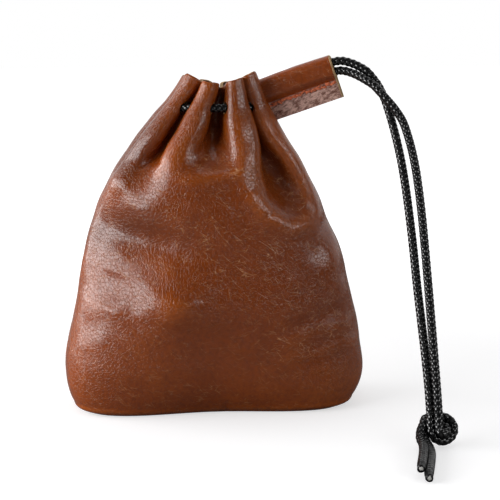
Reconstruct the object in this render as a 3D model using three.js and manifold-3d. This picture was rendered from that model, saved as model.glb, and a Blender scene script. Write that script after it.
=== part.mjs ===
// A drawstring pouch of brown leather, standing on its base with its mouth drawn shut.
// Millimetres, +Z up. The origin is on the floor under the middle of the bag.
// The front of the bag faces -Y and its cord leaves at the right, towards +X.
import * as THREE from 'three';
import { mergeVertices } from 'three/addons/utils/BufferGeometryUtils.js';
import Module from 'manifold-3d';

const wasm = await Module();
wasm.setup();

// Driving dimensions of the bag
const bagWidth = 121.4;        // across the belly
const bagDepth = 57;           // front to back at the belly
const bagHeight = 132.5;       // floor to the rim at the front
const leatherWall = 1.4;
const pointsPerPleat = 10;     // corners of the bag's mesh round each pleat
const rimCrestLift = 2.8;      // the tallest pleat stands this much over bagHeight
const rimValleyDrop = 3.0;     // the rim dips this much between two pleats

// Driving dimensions of the cord and its holes
const cordDiameter = 3.5;
const cordDrop = 11.6;         // rim down to the line of punched holes
const cordInset = 4.6;         // the cord runs this far inside the pleats
const holeClearance = 0.3;
const runPitch = 3.8;          // between the two cord runs in the keeper
const mouthMargin = 1;         // the drawcord ends this far inside the keeper's mouth
const touchGap = 0.3;          // between the ends of two cord pieces
const loopTurnOff = 38;        // degrees either side of the right, where the loop leaves for the keeper
const loopTurnIn = 0.74;       // share of the loop's half width at which both runs come together

// Driving dimensions of the keeper, a leather strip folded round the two cords
const keeperLength = 31.5;
const keeperWall = 1.4;
const keeperFlange = 7.0;      // flat double edge below the stitch line
const keeperFullness = 0.75;   // share of the channel's outer radius kept full at its lower corners
const keeperTilt = 19.5;       // degrees, rising to the right
const keeperYaw = 14;          // degrees, its right end comes forward
const keeperExit = new THREE.Vector3(47.2, -7.6, 136.4);

// The bag, section by section from the floor up
// up: share of bagHeight; wide, deep: shares of half of bagWidth and bagDepth
// square: 2 is an ellipse, more is boxier; waist: share that the middle of front and back draws in
// lean: share of half of bagWidth that the section's middle lies to the right
const sections = [
  { up: 0.000, wide: 0.855, deep: 0.86, square: 3.6, waist: 0.24, lean: -0.013 },
  { up: 0.009, wide: 0.910, deep: 0.92, square: 3.5, waist: 0.22, lean: -0.013 },
  { up: 0.030, wide: 0.947, deep: 0.96, square: 3.3, waist: 0.18, lean: -0.011 },
  { up: 0.068, wide: 0.985, deep: 0.99, square: 3.1, waist: 0.12, lean: -0.005 },
  { up: 0.121, wide: 1.000, deep: 1.00, square: 2.9, waist: 0.07, lean: 0.000 },
  { up: 0.204, wide: 0.976, deep: 1.00, square: 2.7, waist: 0.03, lean: -0.002 },
  { up: 0.306, wide: 0.933, deep: 0.99, square: 2.5, waist: 0.00, lean: -0.002 },
  { up: 0.408, wide: 0.892, deep: 0.97, square: 2.4, waist: 0.00, lean: 0.000 },
  { up: 0.502, wide: 0.843, deep: 0.95, square: 2.3, waist: 0.00, lean: -0.007 },
  { up: 0.577, wide: 0.775, deep: 0.92, square: 2.3, waist: 0.00, lean: -0.023 },
  { up: 0.649, wide: 0.725, deep: 0.89, square: 2.2, waist: 0.00, lean: -0.027 },
  { up: 0.709, wide: 0.677, deep: 0.85, square: 2.2, waist: 0.00, lean: -0.033 },
  { up: 0.766, wide: 0.618, deep: 0.80, square: 2.1, waist: 0.00, lean: -0.025 },
  { up: 0.819, wide: 0.541, deep: 0.74, square: 2.1, waist: 0.00, lean: -0.017 },
  { up: 0.868, wide: 0.472, deep: 0.68, square: 2.0, waist: 0.00, lean: -0.003 },
  { up: 0.912, wide: 0.402, deep: 0.62, square: 2.0, waist: 0.00, lean: 0.010 },
  { up: 0.960, wide: 0.323, deep: 0.56, square: 2.0, waist: 0.00, lean: 0.027 },
  { up: 1.000, wide: 0.272, deep: 0.51, square: 2.0, waist: 0.00, lean: 0.037 },
];
const waistFocus = 6;          // higher keeps the waist nearer to the middle of front and back
const innerRows = [0, 1, 2, 3, 4, 6, 8, 10, 11, 12, 13, 14, 15, 16, 17];

// The pleats, round the mouth from the front left
// crestTurnsFrom: share of bagHeight from which the crests move from foot to rim
// rim, foot: where the crest stands at the rim and low down, in degrees from the front to the right
// tall: share of rimCrestLift that its rim stands above bagHeight
// wrap, wrapRim: how far the leather turns into the valley after it, at the cord and at the rim
// fade, full: shares of bagHeight between which that valley grows to its whole depth
const crestTurnsFrom = 0.63;
const pleats = [
  { rim: -53, foot: -64, tall: 0.75, wrap: 88, wrapRim: 90, fade: 0.63, full: 0.88 },
  { rim: -15, foot: -22, tall: -0.45, wrap: 90, wrapRim: 92, fade: 0.68, full: 0.90 },
  { rim: 16, foot: 19, tall: -0.05, wrap: 92, wrapRim: 92, fade: 0.48, full: 0.86 },
  { rim: 51, foot: 64, tall: 1.00, wrap: 70, wrapRim: 60, fade: 0.58, full: 0.90 },
  { rim: 129, foot: 116, tall: 0.90, wrap: 88, wrapRim: 88, fade: 0.52, full: 0.86 },
  { rim: 163, foot: 158, tall: 0.10, wrap: 92, wrapRim: 92, fade: 0.64, full: 0.90 },
  { rim: 196, foot: 202, tall: -0.20, wrap: 90, wrapRim: 90, fade: 0.56, full: 0.88 },
  { rim: 233, foot: 246, tall: 0.60, wrap: 70, wrapRim: 62, fade: 0.60, full: 0.90 },
];

// The free cord, from the keeper's mouth over its arch and down to the knot
const strandBack = [
  [50.4, -8.4, 138.8], [53.7, -9.3, 138.0], [56.8, -10.7, 136.6], [59.6, -12.1, 134.8],
  [62.0, -13.2, 132.0], [64.0, -14.4, 129.0], [65.8, -15.8, 125.0], [67.1, -18.2, 120.2],
  [68.2, -21.6, 114.6], [69.3, -25.2, 108.2], [70.3, -29.0, 100.6], [71.2, -33.0, 91.6],
  [71.9, -37.2, 81.8], [72.5, -42.4, 70.0], [72.9, -48.2, 57.0], [73.5, -54.2, 44.0],
  [74.1, -60.2, 31.0], [74.4, -65.4, 19.6], [74.5, -68.6, 11.2],
];
const strandFront = [
  [51.2, -9.1, 134.9], [54.2, -11.2, 134.0], [56.8, -13.5, 132.7], [59.2, -15.9, 131.2],
  [61.4, -17.6, 129.6], [63.6, -19.4, 127.1], [66.1, -20.8, 124.2], [69.1, -21.8, 120.6],
  [72.1, -23.2, 116.2], [74.6, -26.0, 109.2], [76.4, -29.4, 100.8], [77.4, -33.2, 91.8],
  [78.0, -37.4, 81.8], [78.4, -42.4, 70.0], [78.6, -48.2, 57.0], [78.6, -54.2, 44.0],
  [78.6, -60.2, 31.0], [78.4, -65.4, 19.6], [78.3, -68.6, 11.2],
];

// The knot: two turns of cord round the two ends, which come out below as short tails
const knotTurns = [
  { x: 77.5, y: -70.2, z: 6.7, halfWide: 5.9, halfDeep: 4.3, slope: -0.10 },
  { x: 76.4, y: -71.0, z: 3.4, halfWide: 5.9, halfDeep: 4.1, slope: 0.06 },
];
const knotEnds = [
  [[74.5, -69.0, 10.7], [74.8, -70.2, 8.0], [73.6, -72.0, 5.0], [71.1, -75.4, 2.6],
    [68.4, -82.0, 1.85], [65.1, -92.9, 1.85], [62.6, -102.4, 1.85], [61.4, -106.5, 1.85]],
  [[78.3, -69.0, 10.7], [77.7, -70.4, 8.4], [75.6, -73.0, 6.4], [73.0, -78.6, 5.4],
    [70.2, -86.0, 5.0], [66.6, -97.4, 4.9], [63.8, -106.4, 4.8], [61.8, -112.6, 4.6]],
];

// Fineness of the meshes of the cord and the keeper
const cordSides = 8;
const keeperArcSteps = 8;
const loopPoints = 22;
const loopSteps = 64;
const strandSteps = 34;
const knotEndSteps = 14;
const knotTurnSteps = 9;
const knotPointPitch = 30;     // degrees between two points of a turn
const knotOverrun = 15;        // degrees that each half turn runs on into the other

// Materials
const gloveBrown = new THREE.MeshStandardMaterial({ color: 0x7a3a1c, roughness: 0.38, metalness: 0 });
const keeperBrown = new THREE.MeshStandardMaterial({ color: 0x74371b, roughness: 0.42, metalness: 0 });
const waxedBlack = new THREE.MeshStandardMaterial({ color: 0x121214, roughness: 0.45, metalness: 0 });

const cordUp = 1 - cordDrop / bagHeight;
const cordRadius = cordDiameter / 2;

// Helpers for numbers and solids
function blend(a, b, share) {
  return a + (b - a) * share;
}

function ease(value, from, to) {
  const t = Math.min(1, Math.max(0, (value - from) / (to - from)));
  return t * t * (3 - 2 * t);
}

function toSolid(geometry) {
  const bare = geometry.clone();
  bare.deleteAttribute('normal');
  bare.deleteAttribute('uv');
  const merged = mergeVertices(bare, 1e-4);
  const vertProperties = new Float32Array(merged.attributes.position.array);
  const triVerts = new Uint32Array(merged.index.array);
  return new wasm.Manifold(new wasm.Mesh({ numProp: 3, vertProperties, triVerts }));
}

function toGeometry(solid) {
  const mesh = solid.getMesh();
  const geometry = new THREE.BufferGeometry();
  geometry.setAttribute('position', new THREE.BufferAttribute(mesh.vertProperties, mesh.numProp));
  geometry.setIndex(new THREE.BufferAttribute(mesh.triVerts, 1));
  return geometry;
}

function namedMesh(name, geometry, material) {
  const mesh = new THREE.Mesh(geometry, material);
  mesh.name = name;
  return mesh;
}

// A tube of cord along a route
function cordTube(points, radius, steps) {
  const section = new THREE.Shape();
  for (let k = 0; k < cordSides; k++) {
    const turn = (k + 0.5) / cordSides * Math.PI * 2;
    const corner = [radius * Math.cos(turn), radius * Math.sin(turn)];
    if (k === 0) section.moveTo(...corner);
    else section.lineTo(...corner);
  }
  section.closePath();
  const extrudePath = new THREE.CatmullRomCurve3(points, false, 'centripetal');
  return new THREE.ExtrudeGeometry(section, { steps, extrudePath, bevelEnabled: false });
}

// The section at any height, between two rows of the table
function sectionAt(up) {
  const above = Math.max(1, sections.findIndex((row) => row.up >= up));
  const [low, high] = [sections[above - 1], sections[above]];
  const share = (up - low.up) / (high.up - low.up);
  const mix = { up };
  for (const key of ['wide', 'deep', 'square', 'waist', 'lean']) {
    mix[key] = blend(low[key], high[key], share);
  }
  return mix;
}

// A point on the outline through the crests, and the direction that it faces
// angle is in degrees from the front towards the right
function outlineAt(section, angle) {
  const halfWide = section.wide * bagWidth / 2;
  const halfDeep = section.deep * bagDepth / 2;
  const n = section.square;
  const [s, c] = [Math.sin(angle * Math.PI / 180), Math.cos(angle * Math.PI / 180)];
  const reach = (Math.abs(s) ** n + Math.abs(c) ** n) ** (-1 / n);
  const drawnIn = 1 - section.waist * c ** waistFocus;
  const x = halfWide * reach * s;
  const y = -halfDeep * reach * c * drawnIn;
  const facing = new THREE.Vector2(
    Math.sign(s) * Math.abs(s) ** (n - 1) / halfWide,
    -Math.sign(c) * Math.abs(c) ** (n - 1) / halfDeep,
  ).normalize();
  const lean = section.lean * bagWidth / 2;
  return { point: new THREE.Vector2(x + lean, y), facing };
}

// One pleat as a strip that swings to either side of the outline by up to wrap degrees
// along: share of the pleat's place on the outline; inward: depth as a share of that place
function pleatCurve(wrap) {
  const fine = 8;
  const steps = pointsPerPleat * fine;
  const swing = wrap * Math.PI / 180;
  const curve = [{ along: 0, inward: 0 }];
  let along = 0;
  let inward = 0;
  for (let k = 1; k <= steps; k++) {
    const turn = swing * Math.sin((k - 0.5) / steps * Math.PI * 2);
    along += Math.cos(turn);
    inward += Math.sin(turn);
    if (k % fine === 0) curve.push({ along, inward });
  }
  return curve.map((spot) => ({ along: spot.along / along, inward: spot.inward / along }));
}

// All the points round one section, pleat by pleat
function bagRing(section) {
  const rimward = ease(section.up, cordUp, 1);
  const upward = ease(section.up, crestTurnsFrom, 1);
  const ring = [];
  pleats.forEach((pleat, i) => {
    const next = pleats[(i + 1) % pleats.length];
    const turn = i + 1 < pleats.length ? 0 : 360;
    const start = blend(pleat.foot, pleat.rim, upward);
    const end = blend(next.foot, next.rim, upward) + turn;
    const grown = ease(section.up, pleat.fade, pleat.full);
    const curve = pleatCurve(grown * blend(pleat.wrap, pleat.wrapRim, rimward));
    const place = outlineLength(section, start, end);
    const deepest = curve[pointsPerPleat / 2].inward;
    for (let k = 0; k < pointsPerPleat; k++) {
      const angle = blend(start, end, curve[k].along);
      const { point, facing } = outlineAt(section, angle);
      const depth = curve[k].inward * place;
      const lift = rimCrestLift * blend(pleat.tall, next.tall, curve[k].along);
      const drop = deepest > 0 ? rimValleyDrop * curve[k].inward / deepest : 0;
      ring.push(new THREE.Vector3(
        point.x - facing.x * depth,
        point.y - facing.y * depth,
        section.up * bagHeight + rimward * (lift - drop),
      ));
    }
  });
  return ring;
}

function outlineLength(section, start, end) {
  const parts = 8;
  let total = 0;
  for (let k = 0; k < parts; k++) {
    const from = outlineAt(section, blend(start, end, k / parts)).point;
    total += from.distanceTo(outlineAt(section, blend(start, end, (k + 1) / parts)).point);
  }
  return total;
}

// The bag's shell: outside, rim, inside and a floor, as one closed skin
function bagShell() {
  const round = pointsPerPleat * pleats.length;
  const outside = sections.map(bagRing);
  const skin = new THREE.BufferGeometry();
  const skinPoints = [new THREE.Vector3(0, 0, 0), ...outside.flat()];
  skin.setFromPoints(skinPoints);
  skin.setIndex([...fan(0, 1, round, false), ...bands(1, sections.length, round, false)]);
  skin.computeVertexNormals();
  const points = [...skinPoints];
  const normal = new THREE.Vector3();
  const insideStart = points.length;
  points.push(new THREE.Vector3(0, 0, leatherWall));
  for (const row of innerRows) {
    for (let k = 0; k < round; k++) {
      const at = 1 + row * round + k;
      normal.fromBufferAttribute(skin.attributes.normal, at);
      points.push(points[at].clone().addScaledVector(normal, -leatherWall));
    }
  }
  const faces = [
    ...skin.index.array,
    ...fan(insideStart, insideStart + 1, round, true),
    ...bands(insideStart + 1, innerRows.length, round, true),
  ];
  const outerRim = 1 + (sections.length - 1) * round;
  const innerRim = insideStart + 1 + (innerRows.length - 1) * round;
  for (let k = 0; k < round; k++) {
    const next = (k + 1) % round;
    faces.push(outerRim + k, outerRim + next, innerRim + next);
    faces.push(outerRim + k, innerRim + next, innerRim + k);
  }
  const shell = new THREE.BufferGeometry().setFromPoints(points);
  shell.setIndex(faces);
  return shell;
}

function fan(centre, first, round, flip) {
  const faces = [];
  for (let k = 0; k < round; k++) {
    const [a, b] = [first + k, first + (k + 1) % round];
    faces.push(...(flip ? [centre, a, b] : [centre, b, a]));
  }
  return faces;
}

function bands(first, rows, round, flip) {
  const faces = [];
  for (let row = 0; row + 1 < rows; row++) {
    for (let k = 0; k < round; k++) {
      const a = first + row * round + k;
      const b = first + row * round + (k + 1) % round;
      const [c, d] = [a + round, b + round];
      faces.push(...(flip ? [a, d, b, a, c, d] : [a, b, d, a, d, c]));
    }
  }
  return faces;
}

// The keeper's own directions: along its length, upward across it, and to the back
const tilt = keeperTilt * Math.PI / 180;
const yaw = keeperYaw * Math.PI / 180;
const keeperAlong = new THREE.Vector3(
  Math.cos(tilt) * Math.cos(yaw),
  -Math.cos(tilt) * Math.sin(yaw),
  Math.sin(tilt),
);
const keeperBack = new THREE.Vector3(Math.sin(yaw), Math.cos(yaw), 0);
const keeperUp = new THREE.Vector3().crossVectors(keeperAlong, keeperBack);

// A point in the keeper's channel: side is 1 for the upper run and -1 for the lower one
function runPoint(side, fromMouth) {
  return keeperExit.clone()
    .addScaledVector(keeperAlong, -fromMouth)
    .addScaledVector(keeperUp, side * runPitch / 2);
}

// The keeper: a rounded channel for two runs of cord, with a flat double flange below
function keeper() {
  const channel = cordRadius + holeClearance;
  const outer = channel + keeperWall;
  const rise = runPitch / 2;
  const flangeFoot = -rise - outer - keeperFlange;
  const section = new THREE.Shape();
  section.moveTo(-keeperWall, flangeFoot);
  section.lineTo(-keeperWall, -rise - outer);
  section.quadraticCurveTo(-outer, -rise - outer * keeperFullness, -outer, -rise);
  section.lineTo(-outer, rise);
  section.absarc(0, rise, outer, Math.PI, 0, true);
  section.lineTo(outer, -rise);
  section.quadraticCurveTo(outer, -rise - outer * keeperFullness, keeperWall, -rise - outer);
  section.lineTo(keeperWall, flangeFoot);
  section.closePath();
  const bore = new THREE.Path();
  bore.absarc(0, rise, channel, 0, Math.PI, false);
  bore.absarc(0, -rise, channel, Math.PI, Math.PI * 2, false);
  section.holes.push(bore);
  const geometry = new THREE.ExtrudeGeometry(section, {
    depth: keeperLength,
    bevelEnabled: false,
    curveSegments: keeperArcSteps,
  });
  const mesh = namedMesh('cord_keeper', geometry, keeperBrown);
  mesh.rotation.setFromRotationMatrix(
    new THREE.Matrix4().makeBasis(keeperBack, keeperUp, keeperAlong),
  );
  mesh.position.copy(keeperExit).addScaledVector(keeperAlong, -keeperLength);
  return mesh;
}

// The drawcord's way: in through the keeper, round the mouth through all the pleats, and back out
const gather = sectionAt(cordUp);
const cordLevel = cordUp * bagHeight;
const gatherMiddle = gather.lean * bagWidth / 2;
const gatherWide = gather.wide * bagWidth / 2 - cordInset;
const gatherDeep = gather.deep * bagDepth / 2 - cordInset;
const turnPlace = gatherMiddle + loopTurnIn * gatherWide;

// From the keeper's inner end to the first hole: side is -1 at the front and 1 at the back
function turnPoints(side) {
  const above = runPoint(side, keeperLength).z - cordLevel;
  const steps = [
    { x: 0.8, y: 1.1, rise: 0.56 },
    { x: 0.0, y: 3.2, rise: 0.30 },
    { x: 0.0, y: 5.8, rise: 0.10 },
    { x: -0.4, y: 8.6, rise: 0.01 },
  ];
  return steps.map((step) => new THREE.Vector3(
    turnPlace + step.x,
    side * step.y,
    cordLevel + above * step.rise,
  ));
}

// A straight run through the keeper, from its mouth to just past its inner end
function keeperRun(side) {
  const shares = [0, 1 / 3, 2 / 3, 1];
  const run = shares.map((share) => runPoint(side, blend(mouthMargin, keeperLength, share)));
  return [...run, runPoint(side, keeperLength + mouthMargin)];
}

function drawcordRoute() {
  const round = [];
  for (let k = 0; k <= loopPoints; k++) {
    const angle = blend(loopTurnOff, -180 - loopTurnOff, k / loopPoints) * Math.PI / 180;
    round.push(new THREE.Vector3(
      gatherMiddle + gatherWide * Math.sin(angle),
      -gatherDeep * Math.cos(angle),
      cordLevel,
    ));
  }
  const front = [...keeperRun(-1), ...turnPoints(-1)];
  const back = [...keeperRun(1), ...turnPoints(1)];
  return [...front, ...round, ...back.reverse()];
}

// The bag, with a punched hole wherever the cord passes through a pleat
function pouchBag(route) {
  const punch = toSolid(cordTube(route, cordRadius + holeClearance, loopSteps));
  return namedMesh('pouch_bag', toGeometry(toSolid(bagShell()).subtract(punch)), gloveBrown);
}

function strand(name, side, points) {
  const straight = [runPoint(side, mouthMargin - touchGap), runPoint(side, -mouthMargin)];
  const route = [...straight, ...points.map((point) => new THREE.Vector3(...point))];
  return namedMesh(name, cordTube(route, cordRadius, strandSteps), waxedBlack);
}

// Half of one turn of the knot, with a little more at each end to run into the other half
function halfTurn(turn, start) {
  const points = [];
  const end = start + 180 + knotOverrun;
  for (let angle = start - knotOverrun; angle <= end; angle += knotPointPitch) {
    const across = turn.halfWide * Math.cos(angle * Math.PI / 180);
    const forward = turn.halfDeep * Math.sin(angle * Math.PI / 180);
    const rise = turn.slope * across;
    points.push(new THREE.Vector3(turn.x + across, turn.y + forward, turn.z + rise));
  }
  return cordTube(points, cordRadius, knotTurnSteps);
}

function endKnot() {
  const pieces = knotEnds.map((points) => {
    const route = points.map((point) => new THREE.Vector3(...point));
    return toSolid(cordTube(route, cordRadius, knotEndSteps));
  });
  for (const turn of knotTurns) {
    pieces.push(toSolid(halfTurn(turn, 0)));
    pieces.push(toSolid(halfTurn(turn, 180)));
  }
  const knot = pieces.reduce((whole, piece) => whole.add(piece));
  return namedMesh('end_knot', toGeometry(knot), waxedBlack);
}

const pouch = new THREE.Group();
const route = drawcordRoute();
pouch.add(pouchBag(route));
pouch.add(keeper());
pouch.add(namedMesh('drawcord_loop', cordTube(route, cordRadius, loopSteps), waxedBlack));
pouch.add(strand('cord_strand_back', 1, strandBack));
pouch.add(strand('cord_strand_front', -1, strandFront));
pouch.add(endKnot());

export default pouch;
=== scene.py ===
# %% [markdown]
# # A drawstring pouch of glossy brown leather
# This lesson dresses a plain model of a small leather pouch: a bag whose mouth is drawn shut by a
# waxed braided cord. The plain model is loaded first and stays as it is. Each piece is then built
# again with its folds, seams, braid and finish, in metres, in the same place. Lengths are typed in
# millimetres, because a pouch is measured that way, and multiplied by MM once.

# %% Load the plain model
import math

import bpy
import numpy as np
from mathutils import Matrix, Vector, noise


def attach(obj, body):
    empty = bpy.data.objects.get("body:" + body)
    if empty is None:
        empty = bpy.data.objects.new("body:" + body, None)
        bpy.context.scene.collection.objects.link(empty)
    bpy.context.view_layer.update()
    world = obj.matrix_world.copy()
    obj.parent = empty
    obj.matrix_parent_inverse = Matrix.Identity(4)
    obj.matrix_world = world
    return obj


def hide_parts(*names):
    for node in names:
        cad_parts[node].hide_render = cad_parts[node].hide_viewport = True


MM = 0.001
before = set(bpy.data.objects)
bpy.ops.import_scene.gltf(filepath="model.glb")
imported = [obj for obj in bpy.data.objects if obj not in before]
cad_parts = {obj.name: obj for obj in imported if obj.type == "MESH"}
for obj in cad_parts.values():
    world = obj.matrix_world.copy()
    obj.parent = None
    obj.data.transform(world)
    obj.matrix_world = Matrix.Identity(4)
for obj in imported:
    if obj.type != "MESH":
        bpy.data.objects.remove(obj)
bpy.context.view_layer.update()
print("plain pieces:", sorted(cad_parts))

# %% [markdown]
# ## The camera
# The photograph was taken from a little to the left of the pouch and a little above it. A long lens
# keeps the sides of the bag from spreading. The place is worked out from two angles and a distance,
# because those are what a photographer would set, and the lens is in millimetres on a 36 mm sensor.

# %% Camera
camera_aim = Vector((13.6, -10.0, 64.0)) * MM
camera_turn = -6.0
camera_height = 10.0
camera_distance = 560 * MM
camera_lens = 100.8
camera_sensor = 36


def direction(turn, height):
    """The way out from the bag, in degrees: turn is 0 in front and 90 at the right."""
    turn, height = math.radians(turn), math.radians(height)
    level = math.cos(height)
    return Vector((math.sin(turn) * level, -math.cos(turn) * level, math.sin(height)))


camera_back = direction(camera_turn, camera_height)
camera = bpy.data.objects.new("camera", bpy.data.cameras.new("camera"))
camera.data.sensor_width = camera_sensor
camera.data.lens = camera_lens
camera.location = camera_aim + camera_back * camera_distance
camera.rotation_mode = "QUATERNION"
camera.rotation_quaternion = (-camera_back).to_track_quat("-Z", "Y")
bpy.context.scene.collection.objects.link(camera)
bpy.context.scene.camera = camera
print("camera at", [round(x, 3) for x in camera.location])

# %% [markdown]
# ## Small tools
# A mesh is made from plain lists of corners and faces, so one function turns such lists into an
# object. Corners are in millimetres until then. Faces may name a material by number.

# %% Meshes from lists
def add_piece(name, corners, faces, materials, face_material=None):
    """Makes a smooth mesh object from corners in millimetres."""
    mesh = bpy.data.meshes.new(name)
    mesh.from_pydata((np.asarray(corners, float) * MM).tolist(), [], faces)
    for material in materials:
        mesh.materials.append(material)
    if face_material is not None:
        mesh.polygons.foreach_set("material_index", np.asarray(face_material, np.int32))
    mesh.polygons.foreach_set("use_smooth", np.ones(len(mesh.polygons), bool))
    mesh.update()
    piece = bpy.data.objects.new(name, mesh)
    bpy.context.scene.collection.objects.link(piece)
    return piece


def add_value(piece, name, values):
    """Stores one number for each corner, for a material to read."""
    attribute = piece.data.attributes.new(name, "FLOAT", "POINT")
    attribute.data.foreach_set("value", np.asarray(values, np.float32))


def band_faces(below, above, columns, closed=True, flip=False):
    """Quads between two rows of corners, one numbered from below and the other from above."""
    faces = []
    for column in range(columns if closed else columns - 1):
        after = (column + 1) % columns
        quad = (below + column, below + after, above + after, above + column)
        faces.append(quad[::-1] if flip else quad)
    return faces


def grid_faces(first, rows, columns, closed=True, flip=False):
    """Quads over a grid of corners, numbered row by row from first."""
    faces = []
    for start in range(first, first + (rows - 1) * columns, columns):
        faces += band_faces(start, start + columns, columns, closed, flip)
    return faces


def fan_faces(centre, first, count, flip=False):
    """Triangles between a corner in the centre and a ring of corners numbered from first."""
    pairs = [(first + k, first + (k + 1) % count) for k in range(count)]
    return [(centre, b, a) if flip else (centre, a, b) for a, b in pairs]


def joined(parts):
    """Corners and faces of several meshes as one; each part starts with its own of both."""
    corners, faces, count = [], [], 0
    for own_corners, own_faces, *_ in parts:
        corners.append(own_corners)
        faces += [tuple(index + count for index in face) for face in own_faces]
        count += len(own_corners)
    return np.vstack(corners), faces


def ease(value, low, high):
    """0 below low, 1 above high, and smooth between."""
    share = np.clip((value - low) / (high - low), 0, 1)
    return share * share * (3 - 2 * share)


def hermite(start, end, leave, arrive, t):
    """A curve from start to end with the slope leave at t = 0 and arrive at t = 1."""
    return (
        (2 * t**3 - 3 * t**2 + 1) * start
        + (t**3 - 2 * t**2 + t) * leave
        + (3 * t**2 - 2 * t**3) * end
        + (t**3 - t**2) * arrive
    )


# %% [markdown]
# ## A smooth line through a few points
# A cord is laid through a short list of points. The curve between them has to pass through
# each one without wobbling where two points lie close together, and a centripetal Catmull-Rom curve
# does that. The result is cut into steps of even length, because the braid that follows it counts
# its plaits by length.

# %% Smooth routes
fine_steps = 16            # between two points, before the route is cut into even steps
nearly_upright = 0.2       # a route that leans less than this at its start counts as upright


def lengths_along(route):
    """The length from the route's start to each of its points."""
    steps = np.linalg.norm(np.diff(route, axis=0), axis=1)
    return np.concatenate([[0], np.cumsum(steps)])


def smooth_route(points, step):
    """Even steps along a centripetal Catmull-Rom curve through points."""
    points = [np.array(p, float) for p in points]
    chain = [2 * points[0] - points[1], *points, 2 * points[-1] - points[-2]]
    fine = []
    for before, start, end, after in zip(chain, chain[1:], chain[2:], chain[3:]):
        pairs = ((before, start), (start, end), (end, after))
        gaps = [np.linalg.norm(b - a) ** 0.5 for a, b in pairs]
        slopes = [(b - a) / gap for (a, b), gap in zip(pairs, gaps)]
        leave = slopes[0] - (end - before) / (gaps[0] + gaps[1]) + slopes[1]
        arrive = slopes[1] - (after - start) / (gaps[1] + gaps[2]) + slopes[2]
        for t in np.linspace(0, 1, fine_steps, endpoint=False):
            fine.append(hermite(start, end, leave * gaps[1], arrive * gaps[1], t))
    fine = np.array([*fine, points[-1]])
    along = lengths_along(fine)
    marks = np.linspace(0, along[-1], max(2, round(along[-1] / step)) + 1)
    return np.stack([np.interp(marks, along, fine[:, k]) for k in range(3)], axis=1)


def route_length(route):
    return float(lengths_along(route)[-1])


def side_directions(route):
    """Two directions square to the route at each point, carried along it without twist."""
    ahead = np.gradient(route, axis=0)
    ahead /= np.linalg.norm(ahead, axis=1)[:, None]
    start = np.cross(ahead[0], [0.0, 0.0, 1.0])
    if np.linalg.norm(start) < nearly_upright:
        start = np.cross(ahead[0], [1.0, 0.0, 0.0])
    sides = [start / np.linalg.norm(start)]
    for heading in ahead[1:]:
        turned = sides[-1] - heading * (sides[-1] @ heading)
        sides.append(turned / np.linalg.norm(turned))
    sides = np.array(sides)
    return sides, np.cross(ahead, sides)


def tube_skin(route, radius, sides):
    """Corners of a tube, ring after ring. The radius may be a number for each ring and side."""
    across, ups = side_directions(route)
    turn = (np.arange(sides) / sides * math.tau)[None, :, None]
    ring = np.cos(turn) * across[:, None, :] + np.sin(turn) * ups[:, None, :]
    return (route[:, None, :] + radius * ring).reshape(-1, 3)


# %% [markdown]
# ## The braid
# The cord is a waxed braid: four plaits wind one way round it and four the other way, each passing
# over and under the others in turn. It could be drawn as a bump on a plain tube, but the wax glints
# on the real plaits, and those glints follow their round backs. So the skin of a tube is pushed in
# and out by the height of whichever plait is on top at that place, and its outline shows the braid
# too.

# %% Braided tubes
cord_diameter = 3.5
cord_radius = cord_diameter / 2
braid_pitch = 8.4          # length in which a plait goes once round the cord
braid_plaits = 4           # in each direction
braid_depth = 0.50         # from the back of a plait down to where two cross
braid_sides = 32
braid_step = 0.26
plait_under = 0.3          # height of a plait's back where it passes under another
melted_height = 0.35       # where a cut end was melted smooth, and how uneven it is
melted_wave = 0.12
melted_lobes = 3
melt_fade = 2.5            # length over which the braid disappears


def braid_height(round_share, along):
    """Height of the top plait, from 0 to 1, at a share of the way round and a length along."""
    right = round_share * braid_plaits + along / braid_pitch * braid_plaits
    left = round_share * braid_plaits - along / braid_pitch * braid_plaits
    heights = []
    for across, beside, sign in ((right, left, 1.0), (left, right, -1.0)):
        back = np.sqrt(np.clip(1 - (2 * (across % 1.0) - 1) ** 2, 0, 1))
        over = 0.5 + 0.5 * sign * np.cos(math.pi * (beside - 0.5 + np.floor(across)))
        heights.append(back * (plait_under + (1 - plait_under) * over))
    return np.maximum(heights[0], heights[1])


def braided_tube(route, sealed_from=None):
    """Corners, faces, and what the cord's finish reads for each corner.

    That is the sealed share, the plait's height, and the core, 1 in the middle of the last end.
    From the length sealed_from onward the braid is melted smooth, as a cut end is.
    """
    along = lengths_along(route)
    share = np.arange(braid_sides) / braid_sides
    height = braid_height(share[None, :], along[:, None])
    sealed = np.zeros(len(along))
    if sealed_from is not None:
        sealed = ease(along, sealed_from, sealed_from + melt_fade)
    melted = melted_height + melted_wave * np.sin(share * math.tau * melted_lobes)
    height = height * (1 - sealed[:, None]) + melted[None, :] * sealed[:, None]
    radius = cord_radius - braid_depth * (1 - height)
    rings = tube_skin(route, radius[:, :, None], braid_sides)
    corners = np.vstack([rings, route[0], route[-1]])
    faces = grid_faces(0, len(route), braid_sides)
    faces += fan_faces(len(rings), 0, braid_sides, flip=True)
    faces += fan_faces(len(rings) + 1, len(rings) - braid_sides, braid_sides)
    sealed_corners = np.concatenate([np.repeat(sealed, braid_sides), sealed[[0, -1]]])
    high_corners = np.concatenate([height.ravel(), [0, 0]])
    core_corners = np.concatenate([np.zeros(height.size), [0, 1]])
    return corners, faces, sealed_corners, high_corners, core_corners


# %% [markdown]
# ## The keeper's place
# The two cord ends leave through a keeper, a short strip of leather folded round them. Everything
# about it is measured from the middle of its mouth, where the cords come out: how far back along
# it, how far across.

# %% The keeper's directions
keeper_mouth = np.array([47.2, -7.6, 136.4])
keeper_length = 31.5
keeper_tilt = math.radians(19.5)
keeper_yaw = math.radians(14)
keeper_wall = 1.4
run_pitch = 3.8            # between the two cords in the keeper

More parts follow.
